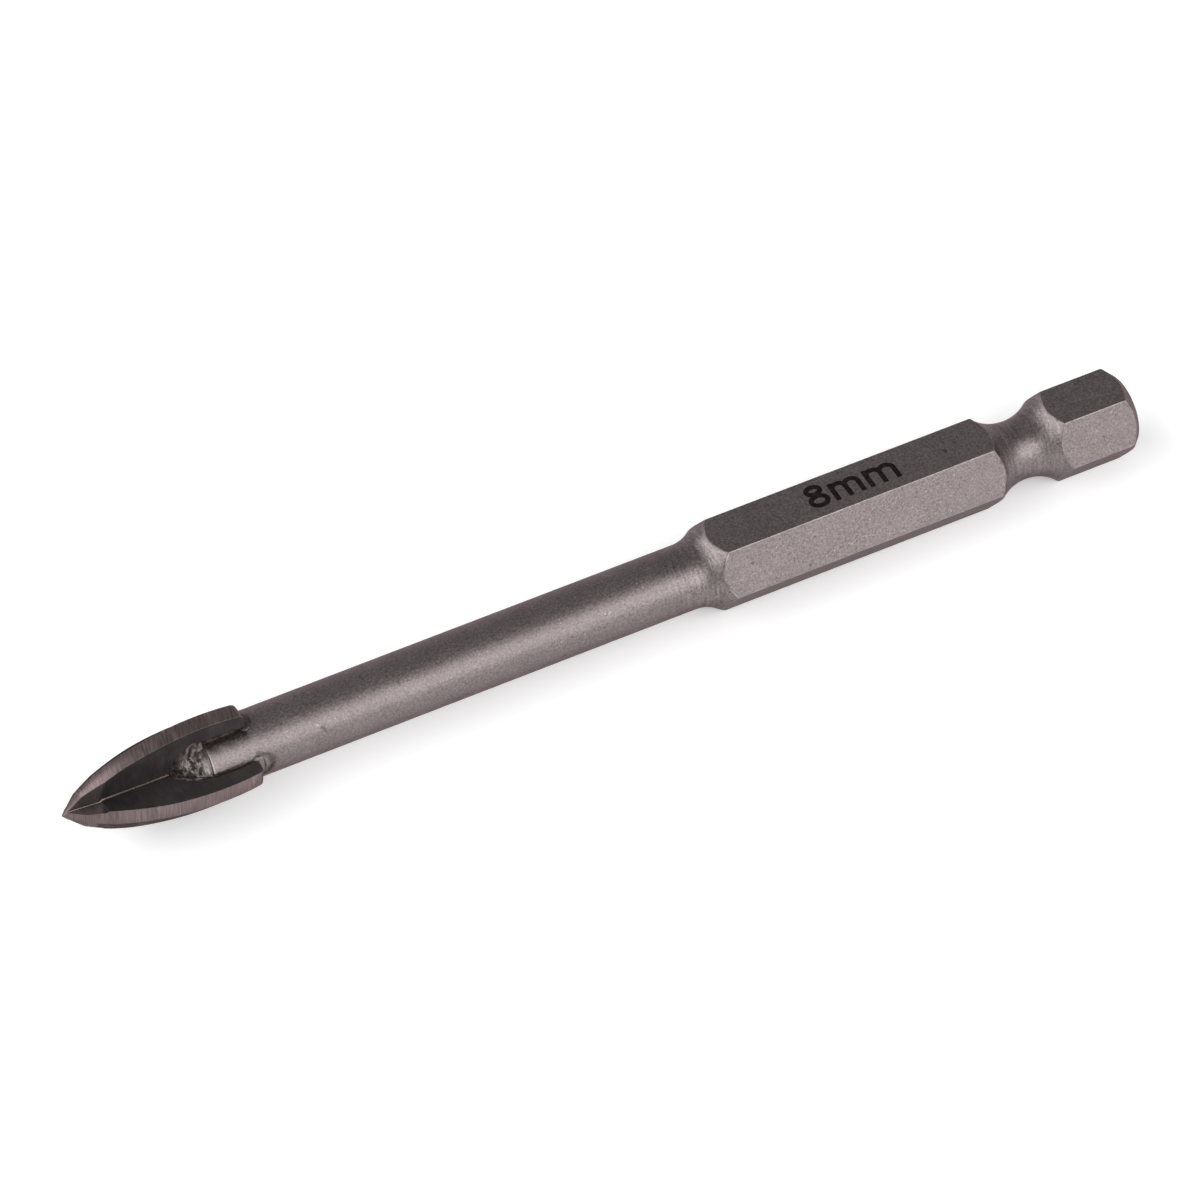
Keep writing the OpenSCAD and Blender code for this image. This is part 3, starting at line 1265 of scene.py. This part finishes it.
        # Leading face, back to the valley
        for share in (1.0, *self.side_shares[:0:-1]):
            x = trail_t + fillet + (lead - cut - trail_t - fillet) * share
            past = self.gash_length + 0.1 - self.gash_sweep * max(x - self.half_t, 0.0) - depth
            ground = 0.6 * float(rise(past, -0.2, 0.4))
            edge = 0.5 * float(bell(x, lead, 0.12))
            points.append(RingPoint(x, lead_t, HeadZone.SIDE, edge, ground))
        # Rounded valley to the next blade
        for turn in np.linspace(0.0, QUARTER, 6)[:-1].tolist():
            x = trail_t + fillet - fillet * math.sin(turn)
            points.append(RingPoint(x, lead_t + fillet - fillet * math.cos(turn), HeadZone.VALLEY))
        return points

    def build(self) -> bpy.types.Mesh:
        """Makes the head.

        Returns:
            The finished mesh, with its zones and cutting edges marked.
        """
        point = ((0.03, 0.4, 10), (0.4, 2.7, 40), (2.7, 2.95, 10), (2.95, 4.6, 30))
        rear = ((4.6, 13.8, 104), (13.8, 14.3, 10), (14.3, self.length, 6))
        depths = spread(*point, *rear).tolist()
        rings = [self.ring(depth) for depth in depths]
        rows = []
        for depth, ring in zip(depths, rings):
            start = HEAD_TURN + self.twist(depth)
            turns = [start + k * QUARTER for k in range(BLADES)]
            x = depth - self.overall
            rows.append([(x, *on_blade(p.x, p.y, turn)) for turn in turns for p in ring])
        mesh = net(np.array(rows), np.array([-self.overall, 0.0, 0.0]), None)
        mesh.name = "head_dressed"
        around = [p for ring in rings for p in ring * BLADES]
        paint(mesh, "edge", np.array([*(p.edge for p in around), 1.0]))
        at = corners(mesh)
        # Painted reflection of the floor: past the gash, the near side of the lower blade gets
        # some of the lighter ground colour
        below = (at[:, 1] < 0) & (at[:, 2] < -0.8)
        painted_floor_sheen = 0.24 * rise(at[:, 0] + self.overall, 2.2, 0.6) * below
        paint(mesh, "ground", np.maximum([*(p.ground for p in around), 1.0], painted_floor_sheen))
        marks = [p.zone.value for ring in rings[:-1] for p in ring * BLADES]
        slots = np.full(len(mesh.polygons), HeadZone.LAND.value, np.int32)
        slots[: len(marks)] = marks
        mesh.polygons.foreach_set("material_index", slots)
        smooth(mesh, 24.0)
        return mesh

    def dress(self, shelf: EffectShelf) -> bpy.types.Object:
        """Builds the head with its finishes.

        Args:
            shelf: shared effects.

        Returns:
            The piece, which stands for the CAD head.
        """
        sintered = Carbide(
            "sintered_side",
            metallic=0.3,
            gloss=0.15,
            colour=(0.0305, 0.026, 0.0268),
            edge=(0.17, 0.145, 0.145),
            roughness=0.5,
            smoke=0.15,
            fade=-0.4,
        )
        ground = Carbide(
            "ground_land",
            colour=(0.162, 0.124, 0.124),
            edge=(0.32, 0.27, 0.26),
            roughness=0.36,
            lines=(13000.0, 700.0, 700.0),
            contrast=1.5,
            smoke=0.08,
            slant=0.25,
            fade=-0.1,
        )
        finishes = {
            HeadZone.SIDE: sintered,
            HeadZone.LAND: ground,
            HeadZone.VALLEY: ValleyBraze(),
        }
        materials = [finishes[zone].make(shelf) for zone in HeadZone]
        piece = seat("head_dressed", self.build(), materials)
        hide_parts("carbide_head")
        return piece


@dataclass
class BrazeSeams:
    """Braze in the slots: the film and beads of the CAD node, with uneven fillets on the seams."""

    half_t: float = 0.65
    leg: float = 0.12
    uneven: float = 0.07
    pool: float = 0.26
    pool_from: float = 76.7
    pool_rise: float = 0.7
    front: float = 79.7
    back: float = 73.62
    rings: int = 72
    bead_front: float = 73.58
    shank_at: float = 70.0
    crust_places: tuple[float, ...] = (77.05, 77.15, 78.3, 79.2)
    crust_shares: tuple[float, ...] = (0.0, 1.0, 0.9, 0.25)

    def leg_length(self, s: float, blade: int, side: int) -> float:
        """Finds how wide the fillet is before it tapers at its ends.

        Args:
            s: distance from the drive end.
            blade: number of the blade.
            side: 1 for its leading side, -1 for the other.

        Returns:
            The width, more on the trailing side over the dome.
        """
        wave = noise.noise(Vector((s * 1.3, 5.0 * blade + 2.3 * side, 1.7)))
        ripple = noise.noise(Vector((s * 4.1, 3.0 * blade - 7.1 * side, 9.2)))
        pool = self.pool * float(rise(s, self.pool_from, self.pool_rise)) * (side < 0)
        swing = (self.uneven + 0.3 * pool) * wave + 0.05 * ripple
        return max(self.leg + pool + swing, 0.06)

    def fillet(self, steel: Callable[[float], float], blade: int, side: int) -> np.ndarray:
        """Lays out the fillet along one side of a blade.

        Args:
            steel: radius of the steel at a distance from the drive end.
            blade: number of the blade.
            side: 1 for its leading side, -1 for the other.

        Returns:
            Rings of points in millimetres.
        """
        angle = HEAD_TURN + blade * QUARTER
        rows = []
        for i, s in enumerate(np.linspace(self.back, self.front, self.rings).tolist()):
            radius = steel(s)
            x = math.sqrt(radius**2 - self.half_t**2)
            taper = min(1.0, i / 14, (self.rings - 1 - i) / 6) * 0.97 + 0.03
            leg = self.leg_length(s, blade, side) * taper
            out = np.array([x + leg * 1.15, self.half_t])
            end = math.atan2(self.half_t, x) + leg * 1.1 / radius
            on_steel = np.array([math.cos(end), math.sin(end)]) * (radius + 0.004)
            hollow = np.array([x, self.half_t]) + leg * np.array([0.22, 0.2])
            section = [
                (1 - q) ** 2 * out + 2 * q * (1 - q) * hollow + q * q * on_steel
                for q in np.linspace(0, 1, 7)
            ]
            section.append(np.array([x - 0.05, self.half_t + 0.02]))
            rows.append([(-s, *on_blade(px, py * side, angle)) for px, py in section])
        return np.array(rows)

    def build(
        self, film: bpy.types.Object, steel: Callable[[float], float]
    ) -> bpy.types.Mesh:
        """Joins the CAD film with the fillets.

        Args:
            film: CAD node of the braze.
            steel: radius of the steel at a distance from the drive end.

        Returns:
            The finished mesh.
        """
        shape = bmesh.new()
        shape.from_mesh(film.data)
        bmesh.ops.remove_doubles(shape, verts=shape.verts, dist=1e-7)
        for blade in range(BLADES):
            for side in (1, -1):
                strip = net(self.fillet(steel, blade, side), None, None)
                shape.from_mesh(strip)
                bpy.data.meshes.remove(strip)
        mesh = bpy.data.meshes.new("braze_dressed")
        shape.to_mesh(mesh)
        shape.free()
        paint(mesh, "flux", self.pale(corners(mesh), steel(self.shank_at)))
        mesh.polygons.foreach_set("material_index", np.zeros(len(mesh.polygons), np.int32))
        smooth(mesh, 40.0)
        return mesh

    def pale(self, at: np.ndarray, shank: float) -> np.ndarray:
        """Finds where the braze is pale: cleaned beads, less on the upper one as painted shade,
        and crust on the fillets over the dome.

        Args:
            at: places on the braze in millimetres.
            shank: radius of the round shank.

        Returns:
            The share of pale colour at each place.
        """
        lifted = np.hypot(at[:, 1], at[:, 2]) - shank
        behind = self.bead_front + at[:, 0]
        # The bead behind the upper blade gets less pale colour than the others: painted shade
        bright = np.where(at[:, 2] > np.abs(at[:, 1]), 0.45, 0.8)
        bead = rise(behind, -0.45, 0.25) * rise(lifted, -0.12, 0.05) * bright
        along = np.interp(-at[:, 0], self.crust_places, self.crust_shares)
        crust = np.clip(0.3 + 1.8 * lump(at, 3.2, 4.0), 0, 0.65) * along
        return np.maximum(bead, crust)

    def dress(self, shelf: EffectShelf, shank: SteelShank) -> bpy.types.Object:
        """Builds the braze with its finish.

        Args:
            shelf: shared effects.
            shank: body that the braze lies on.

        Returns:
            The piece, which stands for the CAD film.
        """
        outline = shank.outside()

        def steel(s: float) -> float:
            """Returns the radius of the steel at a distance from the drive end."""
            return float(np.interp(s, outline[:, 0], outline[:, 1]))

        mesh = self.build(frame["nodes"]["braze_film"], steel)
        piece = seat("braze_dressed", mesh, [BrazeMetal().make(shelf)])
        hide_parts("braze_film")
        return piece


@dataclass
class SizeMark:
    """Plain size mark on the upper flat, drawn in strokes: the figure and its unit."""

    top: float = 3.175
    height: float = 0.008
    depth: float = 0.006
    stroke: float = 0.2
    base: float = -0.93
    stem_top: float = 0.8
    shoulder: float = 0.17
    crown: float = 0.43
    eight: tuple[float, float] = (-26.36, 0.25)
    bowls: tuple[tuple[float, float, float], ...] = ((0.47, 0.54, 0.36), (-0.58, 0.655, 0.47))
    stems: tuple[tuple[float, float, float], ...] = (
        (-25.0, -23.93, -22.86),
        (-22.09, -21.0, -19.86),
    )

    def strokes(self) -> list[tuple[Loop, bool]]:
        """Lays out the centre lines of the strokes.

        Returns:
            Lines of points and whether each is closed.
        """
        lines: list[tuple[Loop, bool]] = []
        x, waist = self.eight
        turns = np.linspace(0, 2 * math.pi, 40, endpoint=False)
        for lift, wide, tall in self.bowls:
            middle = waist + lift
            bowl = [(x + wide * math.cos(a), middle + tall * math.sin(a)) for a in turns]
            lines.append((bowl, True))
        for stems in self.stems:
            lines.append(([(stems[0], self.base), (stems[0], self.stem_top)], False))
            for start, end in zip(stems, stems[1:]):
                middle, half = (start + end) / 2, (end - start) / 2
                arch = [
                    (middle - half * math.cos(a), self.shoulder + self.crown * math.sin(a) ** 0.85)
                    for a in np.linspace(0.0, math.pi, 16)
                ]
                lines.append(([*arch, (end, self.base)], False))
        return lines

    def ribbon(self, line: Loop, closed: bool) -> list[Loop]:
        """Widens a centre line.

        Args:
            line: its points.
            closed: whether its ends meet.

        Returns:
            Four-cornered tiles that cover the stroke.
        """
        points = np.array(line)
        if closed:
            ahead, behind = np.roll(points, -1, 0), np.roll(points, 1, 0)
        else:
            ahead = np.vstack([points[1:], 2 * points[-1] - points[-2]])
            behind = np.vstack([2 * points[0] - points[1], points[:-1]])
        along = ahead - behind
        along /= np.linalg.norm(along, axis=1)[:, None]
        aside = np.stack([-along[:, 1], along[:, 0]], 1) * self.stroke
        left, right = points + aside, points - aside
        tiles = []
        for i in range(len(points) if closed else len(points) - 1):
            j = (i + 1) % len(points)
            tiles.append([tuple(p) for p in (left[i], right[i], right[j], left[j])])
        return tiles

    def build(self) -> bpy.types.Mesh:
        """Makes the mark as one thin layer on the flat.

        Returns:
            The finished mesh.
        """
        tiles = [tile for line, closed in self.strokes() for tile in self.ribbon(line, closed)]
        points = [Vector(p) for tile in tiles for p in tile]
        faces = [[4 * i, 4 * i + 1, 4 * i + 2, 4 * i + 3] for i in range(len(tiles))]
        flat, _, patches, _, _, covers = delaunay_2d_cdt(points, [], faces, 1, 1e-5)
        shape = bmesh.new()
        top = (self.top + self.height) * MM
        verts = [shape.verts.new((p.x * MM, p.y * MM, top)) for p in flat]
        for patch, cover in zip(patches, covers):
            if cover:
                shape.faces.new([verts[i] for i in patch])
        bmesh.ops.recalc_face_normals(shape, faces=shape.faces)
        bmesh.ops.dissolve_limit(
            shape, angle_limit=0.01, verts=shape.verts, edges=shape.edges
        )
        loose = [v for v in shape.verts if not v.link_faces]
        bmesh.ops.delete(shape, geom=loose, context="VERTS")
        # Skirt into the steel, made edge by edge so that its order is the same each run
        rim = [tuple(e.verts) for e in shape.edges if e.is_boundary]
        foot = (self.top - self.depth) * MM
        ends = dict.fromkeys(vert for pair in rim for vert in pair)
        below = {v: shape.verts.new((v.co.x, v.co.y, foot)) for v in ends}
        for a, b in rim:
            shape.faces.new((b, below[b], below[a], a))
        bmesh.ops.triangulate(shape, faces=shape.faces)
        bmesh.ops.recalc_face_normals(shape, faces=shape.faces)
        mesh = bpy.data.meshes.new("size_mark")
        shape.to_mesh(mesh)
        shape.free()
        return mesh

    def dress(self, shelf: EffectShelf) -> bpy.types.Object:
        """Builds the mark with its finish.

        Args:
            shelf: shared effects.

        Returns:
            The piece.
        """
        piece = seat("size_mark", self.build(), [LaserMark().make(shelf)])
        return piece


@dataclass(frozen=True)
class Softbox:
    """Rectangular soft lamp that looks at the middle of the bit."""

    name: str
    towards: tuple[float, float, float]
    width: float
    height: float
    radiance: float
    distance: float = 1.1

    def place(self, centre: Vector) -> bpy.types.Object:
        """Adds the lamp.

        Args:
            centre: point that it looks at.

        Returns:
            The lamp's object.
        """
        data = bpy.data.lights.new(self.name, "AREA")
        data.shape = "RECTANGLE"
        data.size, data.size_y = self.width, self.height
        data.energy = math.pi * self.width * self.height * self.radiance
        lamp = link(self.name, data)
        away = Vector(self.towards).normalized()
        lamp.location = centre + away * self.distance
        lamp.rotation_mode = "QUATERNION"
        lamp.rotation_quaternion = away.to_track_quat("Z", "Y")
        lamp.visible_camera = False
        return lamp


@dataclass
class Studio:
    """Pale floor, soft light and the camera."""

    centre: Vector
    floor_size: float = 6.0
    floor_colour: Colour = (0.92, 0.92, 0.92)
    floor_glow: float = 0.23
    horizon: Colour = (0.74, 0.74, 0.74)
    zenith: Colour = (0.37, 0.37, 0.37)
    lens: float = 225.06
    sensor: float = 36.0
    azimuth: float = math.radians(-30.29)
    elevation: float = math.radians(48.17)
    roll: float = math.radians(2.52)
    camera_at: tuple[float, float, float] = (-0.228572, -0.315157, 0.408820)
    front_contact: tuple[float, float] = (-0.0772, -0.00394)
    rear_contact: tuple[float, float] = (-0.0010, -0.00319)
    boxes: tuple[Softbox, ...] = (
        Softbox("front_box", (0.34, -0.77, 0.55), width=1.1, height=1.0, radiance=2.48),
        Softbox("left_box", (-0.73, 0.14, 0.66), width=1.9, height=0.65, radiance=3.0),
    )

    def floor(self) -> bpy.types.Object:
        """Makes the pale floor, level with what the bit rests on.

        Returns:
            The floor.
        """
        (front_x, front_z), (rear_x, rear_z) = self.front_contact, self.rear_contact
        slope = (rear_z - front_z) / (rear_x - front_x)
        shape = bmesh.new()
        bmesh.ops.create_grid(shape, x_segments=12, y_segments=12, size=self.floor_size / 2)
        for vert in shape.verts:
            vert.co.z = front_z + slope * (vert.co.x - front_x)
        mesh = bpy.data.meshes.new("pale_floor")
        shape.to_mesh(mesh)
        shape.free()
        floor = link("pale_floor", mesh)
        mesh.materials.append(self.floor_finish())
        floor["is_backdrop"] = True
        return floor

    def floor_finish(self) -> bpy.types.Material:
        """Makes the floor's matt pale finish, which looks white to the camera.

        Returns:
            The material.
        """
        material = bpy.data.materials.new("pale_paper")
        sheet = NodeSheet(empty_tree(material))
        shader = sheet.add("ShaderNodeBsdfPrincipled")
        fibre = sheet.remap(sheet.noise(sheet.coords(), 60.0, 2.0), 0.3, 0.7, 0.99, 1.01)
        sheet.plug(shader.inputs["Base Color"], sheet.shade(self.floor_colour, fibre))
        shader.inputs["Roughness"].default_value = 1.0
        shader.inputs["Specular IOR Level"].default_value = 0.0
        path = sheet.add("ShaderNodeLightPath").outputs
        seen = sheet.math("MAXIMUM", path["Is Camera Ray"], path["Is Glossy Ray"])
        seen = sheet.math("MAXIMUM", seen, path["Is Transmission Ray"])
        shader.inputs["Emission Color"].default_value = (1.0, 1.0, 1.0, 1.0)
        glow = sheet.math("MULTIPLY", seen, self.floor_glow)
        sheet.plug(shader.inputs["Emission Strength"], glow)
        out = sheet.add("ShaderNodeOutputMaterial")
        sheet.plug(out.inputs["Surface"], shader.outputs[0])
        return material

    def world(self) -> None:
        """Makes the surroundings: pale round the horizon, darker above."""
        world = bpy.data.worlds.new("studio")
        sheet = NodeSheet(empty_tree(world))
        towards = sheet.add("ShaderNodeTexCoord").outputs["Generated"]
        height = sheet.remap(sheet.axis(towards, 2), 0.10, 0.50)
        back = sheet.add("ShaderNodeBackground")
        sheet.plug(back.inputs["Color"], sheet.blend(height, self.horizon, self.zenith))
        out = sheet.add("ShaderNodeOutputWorld")
        sheet.plug(out.inputs["Surface"], back.outputs[0])
        bpy.context.scene.world = world

    def camera(self) -> bpy.types.Object:
        """Makes the camera at the viewing angle.

        Returns:
            The camera.
        """
        a, e, roll = self.azimuth, self.elevation, self.roll
        back = Vector((math.sin(a) * math.cos(e), -math.cos(a) * math.cos(e), math.sin(e)))
        level = Vector((math.cos(a), math.sin(a), 0.0))
        right = math.cos(roll) * level + math.sin(roll) * back.cross(level)
        up = back.cross(right)
        data = bpy.data.cameras.new("camera")
        data.lens, data.sensor_width = self.lens, self.sensor
        data.clip_start, data.clip_end = 0.01, 20.0
        camera = link("camera", data)
        turn = Matrix((right, up, back)).transposed().to_4x4()
        camera.matrix_world = Matrix.Translation(self.camera_at) @ turn
        bpy.context.scene.camera = camera
        return camera

    def build(self) -> list[bpy.types.Object]:
        """Builds the whole studio.

        Returns:
            Floor, lamps and camera.
        """
        bpy.context.scene.view_settings.view_transform = "Standard"
        self.world()
        lamps = [box.place(self.centre) for box in self.boxes]
        return [self.floor(), *lamps, self.camera()]


def clear_start_objects() -> None:
    """Removes what an empty Blender scene starts with."""
    keep = {*frame["nodes"].values(), *frame["bodies"].values()}
    for item in list(bpy.data.objects):
        if item not in keep:
            bpy.data.objects.remove(item)


def main() -> None:
    """Builds the pieces in order, then the studio."""
    logging.basicConfig(level=logging.INFO, format="%(name)s: %(message)s")
    clear_start_objects()
    cad_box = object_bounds()
    shelf = EffectShelf()
    shank = SteelShank()
    pieces = [
        shank.dress(shelf),
        CarbideHead().dress(shelf),
        BrazeSeams().dress(shelf, shank),
        SizeMark().dress(shelf),
    ]
    for piece in pieces:
        LOG.info("piece %s: %d faces", piece.name, len(piece.data.polygons))
    for item in Studio(centre=(cad_box[0] + cad_box[1]) / 2).build():
        LOG.info("studio %s", item.name)


if __name__ == "__main__":
    main()
